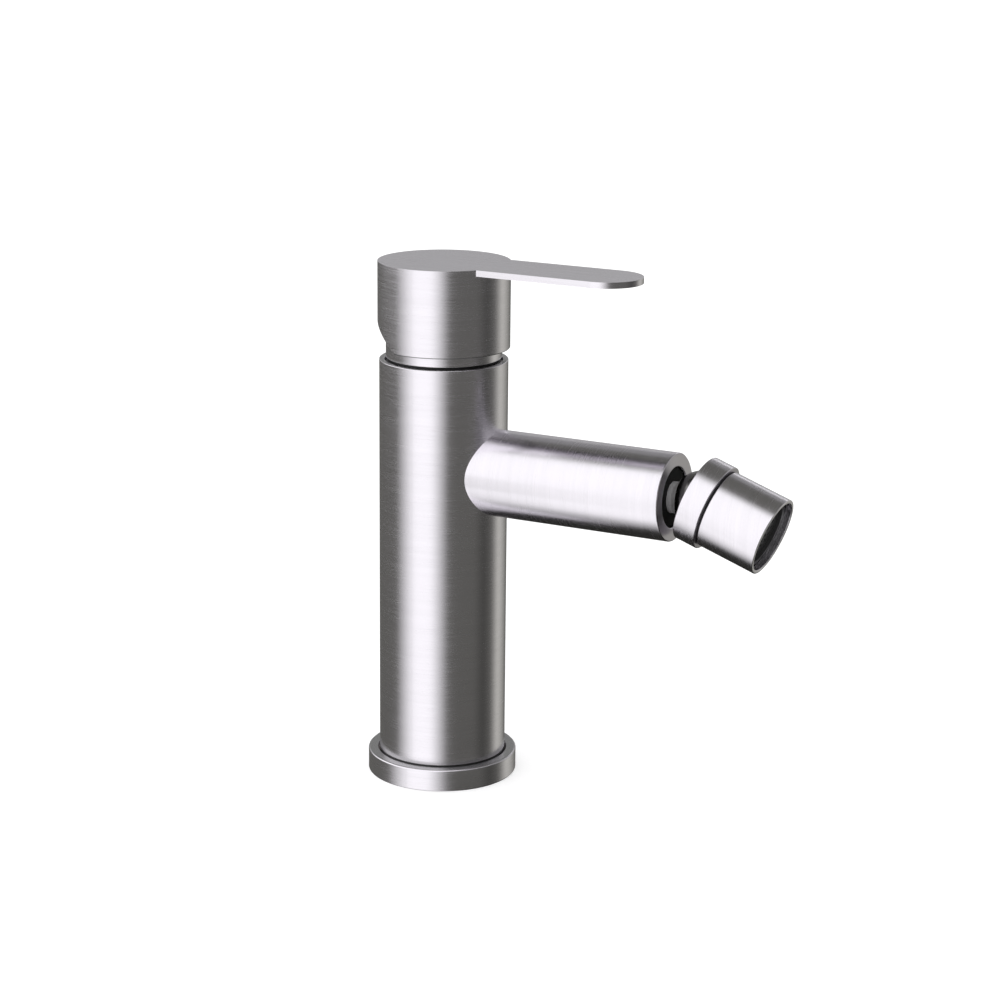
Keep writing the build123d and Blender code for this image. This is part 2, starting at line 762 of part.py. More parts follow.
# Handle: hollow cap, flat paddle, hub with a leaning square socket, and screw boss
hub_forward = screw_rise * tan(radians(rest_lean))
screw_height = pivot_height + screw_rise
screw_tip = (
    stem_width / 2 / cos(radians(rest_lean))
    + screw_radius * tan(radians(rest_lean))
    + press_gap
    - hub_forward
)
paddle_centre = lever_reach - lever_width / 2
rear_end = handle_radius + overrun
rear_cut_end = handle_bottom + (rear_end - rear_cut_start) * tan(radians(rear_cut_angle))
with BuildPart() as handle:
    with BuildSketch(Plane.XY.offset(handle_bottom)):
        Circle(handle_radius)
        Circle(handle_bore, mode=Mode.SUBTRACT)
    extrude(amount=handle_height)
    with BuildSketch(Plane.XY.offset(handle_top)):
        Circle(handle_radius)
        with Locations((0, -paddle_centre / 2)):
            Rectangle(lever_width, paddle_centre)
        with Locations((0, -paddle_centre)):
            Circle(lever_width / 2)
    extrude(amount=-lever_thickness)
    with BuildSketch(Plane.XY.offset(pivot_height + hub_rise)):
        with Locations((0, -hub_forward)):
            Circle(hub_radius)
    extrude(amount=handle_top - lever_thickness / 2 - pivot_height - hub_rise)
    with BuildSketch(Plane(origin=(0, -hub_forward, screw_height), z_dir=(0, 1, 0))):
        Circle(screw_boss_radius)
    extrude(amount=hub_forward + handle_radius - handle_wall / 2)
    with BuildSketch(Plane.YZ):
        with BuildLine():
            Polyline(
                (rear_cut_start, handle_bottom),
                (rear_end, rear_cut_end),
                (rear_end, handle_bottom - overrun),
                (rear_cut_start, handle_bottom - overrun),
                close=True,
            )
        make_face()
    extrude(amount=handle_radius + overrun, both=True, mode=Mode.SUBTRACT)
    with BuildSketch(stem_plane.offset(hub_rise - overrun)):
        Rectangle(stem_width + 2 * press_gap, stem_width + 2 * press_gap)
    extrude(amount=stem_length + socket_spare_depth - hub_rise + overrun, mode=Mode.SUBTRACT)
    with BuildSketch(Plane(origin=(0, -hub_forward, screw_height), z_dir=(0, 1, 0))):
        Circle(screw_radius + press_gap)
    extrude(amount=hub_forward + handle_radius + overrun, mode=Mode.SUBTRACT)
    with BuildSketch(Plane(origin=(0, handle_radius - plug_length, screw_height), z_dir=(0, 1, 0))):
        Circle(plug_radius + press_gap)
    extrude(amount=plug_length + overrun, mode=Mode.SUBTRACT)

with BuildPart() as grub_screw:
    with BuildSketch(Plane(origin=(0, screw_tip, screw_height), z_dir=(0, 1, 0))):
        Circle(screw_radius)
    extrude(amount=screw_length)
    with BuildSketch(Plane(origin=(0, screw_tip + screw_length, screw_height), z_dir=(0, -1, 0))):
        RegularPolygon(screw_key_across / 2, side_count=6, major_radius=False)
    extrude(amount=screw_key_depth, mode=Mode.SUBTRACT)

with BuildPart() as screw_plug:
    with BuildSketch(Plane(origin=(0, handle_radius - plug_length, screw_height), z_dir=(0, 1, 0))):
        Circle(plug_radius)
    extrude(amount=plug_length - plug_sink)
    chamfer(screw_plug.edges().group_by(Axis.Y)[-1], length=edge_break)

pieces = {
    "base_flange": base_flange,
    "flange_gasket": flange_gasket,
    "mounting_foot": mounting_foot,
    "hot_inlet_tube": hot_inlet_tube,
    "cold_inlet_tube": cold_inlet_tube,
    "body_tube": body_tube,
    "spout_tube": spout_tube,
    "spout_seat": spout_seat,
    "ball_stem": ball_stem,
    "stem_o_ring": stem_o_ring,
    "neck_ring": neck_ring,
    "nozzle_collar": nozzle_collar,
    "ball_o_ring": ball_o_ring,
    "ball_seat": ball_seat,
    "nozzle_sleeve": nozzle_sleeve,
    "aerator_gasket": aerator_gasket,
    "aerator_housing": aerator_housing,
    "aerator_screen": aerator_screen,
    "valve_body": valve_body,
    "valve_o_rings": valve_o_rings,
    "cartridge_seal": cartridge_seal,
    "cartridge_base": cartridge_base,
    "fixed_disc": fixed_disc,
    "moving_disc": moving_disc,
    "disc_carrier": disc_carrier,
    "rotor": rotor,
    "pivot_pin": pivot_pin,
    "cartridge_housing": cartridge_housing,
    "retaining_nut": retaining_nut,
    "dome_ring": dome_ring,
    "stem": stem,
    "handle": handle,
    "grub_screw": grub_screw,
    "screw_plug": screw_plug,
}
for name, piece in pieces.items():
    piece.part.label = name
    export_step(piece.part, f"parts/{name}.step")
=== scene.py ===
"""The looks of a bidet mixer: satin steel pieces, its inner parts' finishes and the studio around it."""
import json
from math import acos, asin, atan2, cos, pi, radians, sin, sqrt

import bmesh
import bpy
from mathutils import Matrix, Vector


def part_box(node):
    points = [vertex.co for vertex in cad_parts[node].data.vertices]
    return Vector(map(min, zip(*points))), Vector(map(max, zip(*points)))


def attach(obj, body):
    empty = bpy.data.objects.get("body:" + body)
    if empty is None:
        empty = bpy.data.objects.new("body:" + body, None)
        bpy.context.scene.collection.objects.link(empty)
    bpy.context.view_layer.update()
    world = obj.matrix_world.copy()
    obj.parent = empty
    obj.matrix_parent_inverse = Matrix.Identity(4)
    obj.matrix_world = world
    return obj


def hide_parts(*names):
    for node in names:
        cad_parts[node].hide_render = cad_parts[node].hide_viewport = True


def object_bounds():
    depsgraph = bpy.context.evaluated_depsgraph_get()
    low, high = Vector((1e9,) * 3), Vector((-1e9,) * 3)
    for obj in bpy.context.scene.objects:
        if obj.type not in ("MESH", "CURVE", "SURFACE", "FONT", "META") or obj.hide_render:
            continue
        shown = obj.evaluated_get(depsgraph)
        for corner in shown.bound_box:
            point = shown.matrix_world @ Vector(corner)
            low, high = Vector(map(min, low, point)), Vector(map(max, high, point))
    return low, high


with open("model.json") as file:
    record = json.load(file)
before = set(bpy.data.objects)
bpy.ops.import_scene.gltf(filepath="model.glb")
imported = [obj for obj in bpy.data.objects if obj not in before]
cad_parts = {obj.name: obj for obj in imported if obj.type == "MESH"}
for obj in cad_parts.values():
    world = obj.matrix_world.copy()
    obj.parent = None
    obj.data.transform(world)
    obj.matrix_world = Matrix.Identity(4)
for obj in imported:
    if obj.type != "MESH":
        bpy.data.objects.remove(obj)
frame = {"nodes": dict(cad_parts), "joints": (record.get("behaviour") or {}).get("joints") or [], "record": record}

bl_info = {
    "name": "Bidet Mixer",
    "version": (1, 0, 0),
    "blender": (4, 5, 0),
    "location": "View3D > Sidebar > Mixer",
    "description": "Builds the satin steel looks of a single-lever bidet mixer",
    "category": "Object",
}

MM = 0.001
WELD = 0.001 * MM  # points nearer than this are one
SKIN = 0.1 * MM  # how far below a surface a groove is told from it, and the play of running pieces
CAD_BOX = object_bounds()
NODES = frame["nodes"]
JOINTS = {joint["name"]: joint for joint in frame["joints"]}
PIVOT = Vector(JOINTS["flow_lift"]["pos_m"])
BALL = Vector(JOINTS["nozzle_turn"]["pos_m"])
NOZZLE_AXIS = Vector(JOINTS["nozzle_turn"]["axis"]).normalized()
SPOUT_AXIS = Vector((0, -1, 0))
UP = Vector((0, 0, 1))
SIDE = Vector((1, 0, 0))


class MixerSizes(bpy.types.PropertyGroup):
    """Sizes that the frame doesn't give"""

    segments: bpy.props.IntProperty(
        name="Segments", description="Faces round each turned piece", default=160, min=24
    )
    edge: bpy.props.FloatProperty(
        name="Edge radius", description="Broken edge of turned steel", default=0.3 * MM, unit="LENGTH"
    )
    flange_edge: bpy.props.FloatProperty(
        name="Flange edge radius", description="Round of the flange's upper edge", default=0.6 * MM, unit="LENGTH"
    )
    flange_gap: bpy.props.FloatProperty(
        name="Flange gap", description="Dark gap round the foot of the body", default=0.45 * MM, unit="LENGTH"
    )
    rim_edge: bpy.props.FloatProperty(
        name="Rim edge radius", description="Broken edge of the body's rim", default=0.25 * MM, unit="LENGTH"
    )
    collar_gap: bpy.props.FloatProperty(
        name="Collar gap", description="Dark gap between the body's rim and the dome ring", default=0.25 * MM,
        unit="LENGTH",
    )
    body_wall: bpy.props.FloatProperty(
        name="Body wall", description="Wall of the body tube", default=1.7 * MM, unit="LENGTH"
    )
    spout_mouth: bpy.props.FloatProperty(
        name="Spout mouth", description="Radius of the spout's round mouth", default=9.2 * MM, unit="LENGTH"
    )
    spout_end: bpy.props.FloatProperty(
        name="Spout end", description="Depth of the spout's thick end", default=4.0 * MM, unit="LENGTH"
    )
    spout_edge: bpy.props.FloatProperty(
        name="Spout edge radius", description="Broken edges of the spout's end", default=0.45 * MM, unit="LENGTH"
    )
    dome_wall: bpy.props.FloatProperty(
        name="Dome wall", description="Wall of the dome ring", default=1.6 * MM, unit="LENGTH"
    )
    groove_height: bpy.props.FloatProperty(
        name="Groove height", description="Dark groove of the dome ring above the body's rim", default=0.5 * MM,
        unit="LENGTH",
    )
    foot_groove: bpy.props.FloatProperty(
        name="Foot groove", description="Dark shadow line of the body above the flange", default=0.4 * MM, unit="LENGTH"
    )
    groove_depth: bpy.props.FloatProperty(
        name="Groove depth", description="Depth of the dark grooves", default=0.7 * MM, unit="LENGTH"
    )
    dome_sphere: bpy.props.FloatProperty(
        name="Dome sphere", description="Radius of the dome about the pivot", default=18.35 * MM, unit="LENGTH"
    )
    handle_wall: bpy.props.FloatProperty(
        name="Handle wall", description="Wall of the hollow cap", default=1.6 * MM, unit="LENGTH"
    )
    cap_edge: bpy.props.FloatProperty(
        name="Cap edge radius", description="Round of the cap's lower edge", default=0.5 * MM, unit="LENGTH"
    )
    paddle_thickness: bpy.props.FloatProperty(
        name="Paddle thickness", description="Thickness of the flat lever", default=1.9 * MM, unit="LENGTH"
    )
    paddle_width: bpy.props.FloatProperty(
        name="Paddle width", description="Width of the flat lever", default=22.6 * MM, unit="LENGTH"
    )
    rear_cut_start: bpy.props.FloatProperty(
        name="Rear cut start", description="Where the cap's oblique cut begins", default=6.1 * MM, unit="LENGTH"
    )
    rear_cut_angle: bpy.props.FloatProperty(
        name="Rear cut angle", description="Slope of the cap's oblique cut", default=radians(35.8), subtype="ANGLE"
    )
    lip_radius: bpy.props.FloatProperty(
        name="Ball lip radius", description="Sharp edge where the neck meets the ball", default=6.4 * MM, unit="LENGTH"
    )
    neck_radius: bpy.props.FloatProperty(
        name="Neck radius", description="Neck of the ball stem", default=4.8 * MM, unit="LENGTH"
    )
    flare_length: bpy.props.FloatProperty(
        name="Flare length", description="Length of the neck's flare", default=1.9 * MM, unit="LENGTH"
    )
    ball_bore: bpy.props.FloatProperty(
        name="Ball bore", description="Radius of the way through the ball stem", default=3.2 * MM, unit="LENGTH"
    )
    collar_back: bpy.props.FloatProperty(
        name="Collar back", description="Back of the collar from the ball's centre", default=-2.4 * MM, unit="LENGTH"
    )
    collar_width: bpy.props.FloatProperty(
        name="Collar width", description="Width of the nozzle's collar", default=7.2 * MM, unit="LENGTH"
    )
    collar_radius: bpy.props.FloatProperty(
        name="Collar radius", description="Outer radius of the collar", default=13.35 * MM, unit="LENGTH"
    )
    sleeve_radius: bpy.props.FloatProperty(
        name="Sleeve radius", description="Outer radius of the sleeve", default=12.13 * MM, unit="LENGTH"
    )
    sleeve_wall: bpy.props.FloatProperty(
        name="Sleeve wall", description="Thin wall of the outlet", default=1.2 * MM, unit="LENGTH"
    )
    nozzle_reach: bpy.props.FloatProperty(
        name="Nozzle reach", description="Outlet face from the ball's centre", default=24.0 * MM, unit="LENGTH"
    )
    outlet_depth: bpy.props.FloatProperty(
        name="Outlet depth", description="Depth of the hollow behind the outlet", default=13.0 * MM, unit="LENGTH"
    )


class MixerFinish(bpy.types.PropertyGroup):
    """Colours and grain of the satin steel"""

    steel: bpy.props.FloatVectorProperty(
        name="Steel", description="Colour of the satin steel", default=(0.92, 0.89, 0.945), subtype="COLOR",
        min=0, max=1,
    )
    roughness: bpy.props.FloatProperty(
        name="Roughness", description="Roughness of the satin steel", default=0.24, min=0, max=1, subtype="FACTOR"
    )
    grain_depth: bpy.props.FloatProperty(
        name="Grain depth", description="Depth of the brush lines", default=0.02 * MM, unit="LENGTH"
    )
    grain_pitch: bpy.props.FloatProperty(
        name="Grain pitch", description="Spacing of the brush lines", default=0.36 * MM, unit="LENGTH"
    )


class StudioSettings(bpy.types.PropertyGroup):
    """Camera and light"""

    lens: bpy.props.FloatProperty(
        name="Lens", description="Focal length on a 36 mm sensor", default=91.504, unit="CAMERA"
    )
    place: bpy.props.FloatVectorProperty(
        name="Camera", description="Where the camera stands", default=(-0.67514, -0.37269, 0.29316),
        subtype="TRANSLATION",
    )
    azimuth: bpy.props.FloatProperty(
        name="Azimuth", description="Camera's turn about the vertical from +Y", default=radians(-62.423),
        subtype="ANGLE",
    )
    pitch: bpy.props.FloatProperty(
        name="Pitch", description="How far the camera looks down", default=radians(14.859), subtype="ANGLE"
    )
    roll: bpy.props.FloatProperty(
        name="Roll", description="Camera's roll", default=radians(0.576), subtype="ANGLE"
    )
    wall_radius: bpy.props.FloatProperty(
        name="Wall radius", description="Radius of the round light wall", default=1.2, unit="LENGTH"
    )
    wall_strength: bpy.props.FloatProperty(
        name="Wall strength", description="Strength of the light wall", default=1.12, min=0
    )
    tint: bpy.props.FloatVectorProperty(
        name="Tint", description="Colour of the dim parts of the studio", default=(1.0, 1.0, 0.91), subtype="COLOR",
        min=0, max=1,
    )
    floor_lift: bpy.props.FloatProperty(
        name="Floor lift", description="White that the camera sees on the floor beside its own", default=0.35, min=0
    )


def sizes():
    return bpy.context.scene.mixer_sizes


def finish():
    return bpy.context.scene.mixer_finish


def studio():
    return bpy.context.scene.mixer_studio


# Shaping


def new_piece(bm, name, body, materials, nodes):
    """Makes an object of a finished bmesh and sets it in the frame."""
    mesh = bpy.data.meshes.new(name)
    bm.to_mesh(mesh)
    bm.free()
    for material in materials:
        mesh.materials.append(material)
    mesh.shade_smooth()
    piece = bpy.data.objects.new(name, mesh)
    bpy.context.scene.collection.objects.link(piece)
    normals = piece.modifiers.new("Even normals", "WEIGHTED_NORMAL")
    normals.keep_sharp = True
    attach(piece, body)
    if nodes:
        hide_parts(*nodes)
    return piece


def profile_loop(bm, points, origin, axis):
    """Draws a closed half section: distance along the axis first, radius second."""
    out = SIDE if abs(axis.dot(SIDE)) < 0.5 else UP
    verts = [bm.verts.new(origin + axis * along + out * radius) for along, radius in points]
    for index, vert in enumerate(verts):
        bm.edges.new((vert, verts[(index + 1) % len(verts)]))
    return verts


def turn_profile(bm, origin, axis):
    """Spins all there is in a bmesh once round an axis."""
    bmesh.ops.spin(
        bm,
        geom=bm.verts[:] + bm.edges[:],
        cent=origin,
        axis=axis,
        angle=2 * pi,
        steps=sizes().segments,
        use_merge=True,
    )
    bmesh.ops.remove_doubles(bm, verts=bm.verts[:], dist=WELD)
    bmesh.ops.recalc_face_normals(bm, faces=bm.faces[:])


def break_edges(bm, width, choose=None, sharp=radians(35)):
    """Rounds the sharp edges, or those of them that a test picks."""
    edges = [
        edge
        for edge in bm.edges
        if len(edge.link_faces) == 2 and edge.calc_face_angle() > sharp and (choose is None or choose(edge))
    ]
    bmesh.ops.bevel(
        bm, geom=edges, offset=width, offset_type="OFFSET", affect="EDGES", segments=3, profile=0.5, material=-1,
        clamp_overlap=True,
    )


def turned_piece(name, points, origin, axis, body, materials, nodes, edge=None, groove=None):
    """A turned piece with broken edges; a second material is for its end faces, a third for its groove, where the
    callers put painted shade.
    """
    bm = bmesh.new()
    profile_loop(bm, points, origin, axis)
    turn_profile(bm, origin, axis)
    break_edges(bm, sizes().edge if edge is None else edge)
    if len(materials) > 1:
        paint_end_faces(bm, axis)
    if groove:
        paint_groove(bm, origin, axis, *groove)
    return new_piece(bm, name, body, materials, nodes)


def paint_end_faces(bm, axis, facing=0.95):
    """Gives the faces that look along an axis the second material."""
    for face in bm.faces:
        if face.normal.dot(axis) > facing:
            face.material_index = 1


def paint_groove(bm, origin, axis, start, end, radius):
    """Gives the faces inside a groove the third material, which the callers use for painted shade."""
    for face in bm.faces:
        offset = face.calc_center_median() - origin
        along = offset.dot(axis)
        if start < along < end and (offset - axis * along).length < radius:
            face.material_index = 2


def verts_of(items):
    return [item for item in items if isinstance(item, bmesh.types.BMVert)]


def edges_of(items):
    return [item for item in items if isinstance(item, bmesh.types.BMEdge)]


def arc_points(radius, start, end, steps, centre=0.0):
    """Points of a half section on a sphere: angles are from the axis."""
    turns = [start + (end - start) * step / steps for step in range(steps + 1)]
    return [(centre + radius * cos(turn), radius * sin(turn)) for turn in turns]


# Materials


def node_material(name):
    material = bpy.data.materials.new(name)
    material.use_nodes = True
    return material, material.node_tree.nodes, material.node_tree.links, material.node_tree.nodes["Principled BSDF"]


def grain_coordinates(nodes, links, turn, stretch):
    """Object coordinates turned into the grain's own frame and stretched along its lines."""
    place = nodes.new("ShaderNodeTexCoord")
    mapping = nodes.new("ShaderNodeMapping")
    mapping.vector_type = "POINT"
    mapping.inputs["Rotation"].default_value = turn
    mapping.inputs["Scale"].default_value = stretch
    links.new(place.outputs["Object"], mapping.inputs["Vector"])
    return mapping.outputs["Vector"]


def noise(nodes, links, vector, scale, detail, rough=0.5):
    texture = nodes.new("ShaderNodeTexNoise")
    texture.inputs["Scale"].default_value = scale
    texture.inputs["Detail"].default_value = detail
    texture.inputs["Roughness"].default_value = rough
    links.new(vector, texture.inputs["Vector"])
    return texture.outputs["Fac"]


def ramp(nodes, links, value, low, high, start=0.3, end=0.7):
    """Maps a value between two others."""
    span = nodes.new("ShaderNodeMapRange")
    for socket, number in (("From Min", start), ("From Max", end), ("To Min", low), ("To Max", high)):
        span.inputs[socket].default_value = number
    links.new(value, span.inputs["Value"])
    return span.outputs["Result"]


def satin_steel(name, turn=(0, 0, 0), across=(0.02, 0.02, 1.0)):
    """Brushed steel, made once: fine lines square to the axis that across stretches least."""
    known = bpy.data.materials.get(name)
    if known:
        return known
    material, nodes, links, shader = node_material(name)
    colour = finish().steel
    vector = grain_coordinates(nodes, links, turn, across)
    fine = noise(nodes, links, vector, 1 / finish().grain_pitch, 4, 0.65)
    broad = noise(nodes, links, vector, 0.12 / finish().grain_pitch, 3, 0.6)
    tone = nodes.new("ShaderNodeMix")
    tone.data_type = "RGBA"
    tone.inputs["A"].default_value = (*[part * 0.95 for part in colour], 1)
    tone.inputs["B"].default_value = (*colour, 1)
    links.new(ramp(nodes, links, broad, 0, 1), tone.inputs["Factor"])
    links.new(tone.outputs["Result"], shader.inputs["Base Color"])
    shader.inputs["Metallic"].default_value = 1.0
    rough = finish().roughness
    links.new(ramp(nodes, links, fine, rough * 0.82, rough * 1.2), shader.inputs["Roughness"])
    bump = nodes.new("ShaderNodeBump")
    bump.inputs["Strength"].default_value = 0.35
    bump.inputs["Distance"].default_value = finish().grain_depth
    links.new(fine, bump.inputs["Height"])
    links.new(bump.outputs["Normal"], shader.inputs["Normal"])
    return material


def plain_finish(name, colour, metallic, rough, grain=0.15, pitch=0.6 * MM, depth=0.01 * MM):
    """Cast, moulded or machined finish with a slight mottle, made once."""
    known = bpy.data.materials.get(name)
    if known:
        return known
    material, nodes, links, shader = node_material(name)
    vector = grain_coordinates(nodes, links, (0, 0, 0), (1, 1, 1))
    mottle = noise(nodes, links, vector, 1 / pitch, 4)
    tone = nodes.new("ShaderNodeMix")
    tone.data_type = "RGBA"
    tone.inputs["A"].default_value = (*[part * (1 - grain) for part in colour], 1)
    tone.inputs["B"].default_value = (*colour, 1)
    links.new(mottle, tone.inputs["Factor"])
    links.new(tone.outputs["Result"], shader.inputs["Base Color"])
    shader.inputs["Metallic"].default_value = metallic
    links.new(ramp(nodes, links, mottle, rough * 0.85, min(1.0, rough * 1.15)), shader.inputs["Roughness"])
    bump = nodes.new("ShaderNodeBump")
    bump.inputs["Strength"].default_value = 0.3
    bump.inputs["Distance"].default_value = depth
    links.new(mottle, bump.inputs["Height"])
    links.new(bump.outputs["Normal"], shader.inputs["Normal"])
    return material


def steel_round_body():
    return satin_steel("steel_round_body")


def steel_round_spout():
    return satin_steel("steel_round_spout", across=(0.02, 1.0, 0.02))


def steel_round_nozzle():
    lean = atan2(-NOZZLE_AXIS.z, -NOZZLE_AXIS.y)
    return satin_steel("steel_round_nozzle", turn=(-lean, 0, 0), across=(0.02, 1.0, 0.02))


def turned_face():
    """End faces turned across the tube, duller than its side."""
    return plain_finish("turned_face", (0.72, 0.69, 0.74), 1.0, 0.32, grain=0.2, pitch=0.35 * MM)


def groove_painted_shade():
    """Steel in the depth of a groove, coloured near black as painted shade where little light comes."""
    return plain_finish("groove_painted_shade", (0.1, 0.1, 0.1), 1.0, 0.5)


def cap_edge_painted_shade():
    """The cap's lower edge, turned and not brushed, and coloured dark as painted shade under the cap."""
    return plain_finish("cap_edge_painted_shade", (0.3, 0.3, 0.3), 1.0, 0.4)


def matte_face_painted_shade():
    """Faces square to a tube, brushed less finely than its side, and coloured darker than it as painted shade."""
    return plain_finish("matte_face_painted_shade", (0.45, 0.45, 0.45), 1.0, 0.28, grain=0.12, pitch=0.35 * MM)


def steel_flat_top():
    return satin_steel("steel_flat_top", across=(1.0, 0.02, 0.02))


# Pieces


class MIXER_OT_flange(bpy.types.Operator):
    """Low ring round the foot of the body"""

    bl_idname = "mixer.flange"
    bl_label = "Base flange"

    def execute(self, context):
        low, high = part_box("base_flange")
        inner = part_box("body_tube")[1].x + sizes().flange_gap
        top = high.z
        bm = bmesh.new()
        profile_loop(bm, [(low.z, inner), (low.z, high.x), (top, high.x), (top, inner)], Vector(), UP)
        turn_profile(bm, Vector(), UP)

        def upper_outer(edge):
            middle = (edge.verts[0].co + edge.verts[1].co) / 2
            return middle.z > top - sizes().edge and middle.xy.length > (inner + high.x) / 2

        break_edges(bm, sizes().flange_edge, upper_outer)
        break_edges(bm, sizes().edge)
        # The flange's top takes the end-face steel: a coarser brush, and darker as painted shade.
        paint_end_faces(bm, UP)
        new_piece(bm, "flange_ring", "mixer_body", [steel_round_body(), matte_face_painted_shade()], ["base_flange"])
        return {"FINISHED"}


class MIXER_OT_body(bpy.types.Operator):
    """Upright tube with its thin rim"""

    bl_idname = "mixer.body"
    bl_label = "Body tube"

    def execute(self, context):
        low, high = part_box("body_tube")
        inner = high.x - sizes().body_wall
        floor = high.x - sizes().groove_depth
        flange_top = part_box("base_flange")[1].z
        groove_foot = flange_top - sizes().edge
        groove_top = flange_top + sizes().foot_groove
        points = [
            (low.z, inner), (low.z, high.x), (groove_foot, high.x), (groove_foot, floor), (groove_top, floor),
            (groove_top, high.x), (high.z, high.x), (high.z, inner),
        ]
        bm = bmesh.new()
        profile_loop(bm, points, Vector(), UP)
        turn_profile(bm, Vector(), UP)
        break_edges(bm, sizes().rim_edge, lambda edge: edge.verts[0].co.z > high.z - sizes().edge)
        # The rim's top takes the end-face steel: a coarser brush, and darker as painted shade.
        paint_end_faces(bm, UP)
        # The foot groove is painted near black: painted shade for the shadow line above the flange.
        paint_groove(bm, Vector(), UP, groove_foot - sizes().edge, groove_top + sizes().edge, high.x - SKIN)
        new_piece(
            bm, "body_sleeve", "mixer_body", [steel_round_body(), matte_face_painted_shade(), groove_painted_shade()],
            ["body_tube"],
        )
        return {"FINISHED"}


class MIXER_OT_spout(bpy.types.Operator):
    """Horizontal tube coped to the body, with a thick end round its mouth"""

    bl_idname = "mixer.spout"
    bl_label = "Spout"

    def execute(self, context):
        low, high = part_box("spout_tube")
        radius = high.x
        reach = -low.y
        bore = radius - sizes().body_wall
        end = reach - sizes().spout_end
        mouth = sizes().spout_mouth
        origin = Vector((0, 0, (low.z + high.z) / 2))
        body_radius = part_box("body_tube")[1].x
        points = [(0, bore), (end, bore), (end, mouth), (reach, mouth), (reach, radius), (0, radius)]
        bm = bmesh.new()
        profile_loop(bm, points, origin, SPOUT_AXIS)
        turn_profile(bm, origin, SPOUT_AXIS)
        break_edges(bm, sizes().spout_edge, lambda edge: edge.verts[0].co.y < -end - sizes().edge)
        for vert in bm.verts:
            if vert.co.y > -sizes().edge:
                vert.co.y = -sqrt(body_radius**2 - vert.co.x**2)
        paint_end_faces(bm, SPOUT_AXIS)
        new_piece(
            bm, "spout_sleeve", "mixer_body", [steel_round_spout(), turned_face()], ["spout_tube"]
        )
        return {"FINISHED"}


class MIXER_OT_dome(bpy.types.Operator):
    """Ring in the gap under the handle, closing over as a sphere about the pivot"""

    bl_idname = "mixer.dome"
    bl_label = "Dome ring"

    def execute(self, context):
        low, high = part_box("dome_ring")
        outer, wall = high.x - sizes().collar_gap, sizes().dome_wall
        sphere = sizes().dome_sphere
        inner_sphere = sphere - wall
        top = high.z - PIVOT.z
        outer_arc = arc_points(sphere, asin(outer / sphere), acos(top / sphere), 12, PIVOT.z)
        inner_arc = arc_points(inner_sphere, acos(top / inner_sphere), asin((outer - wall) / inner_sphere), 12, PIVOT.z)
        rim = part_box("body_tube")[1].z
        groove_top = rim + sizes().groove_height
        groove_foot = rim - sizes().groove_depth
        floor = outer - sizes().groove_depth
        groove = [(groove_foot, outer), (groove_foot, floor), (groove_top, floor), (groove_top, outer)]
        points = [(low.z, outer), *groove, *outer_arc, *inner_arc, (low.z, outer - wall)]
        # The groove above the body's rim, and the ring's inside below it, are painted near black as painted shade;
        # faces looking up take the end-face steel, darker as painted shade.
        turned_piece(
            "dome_collar", points, Vector(), UP, "mixer_body",
            [steel_round_body(), matte_face_painted_shade(), groove_painted_shade()], ["dome_ring"],
            groove=(low.z - sizes().edge, groove_top, outer - SKIN),
        )
        return {"FINISHED"}


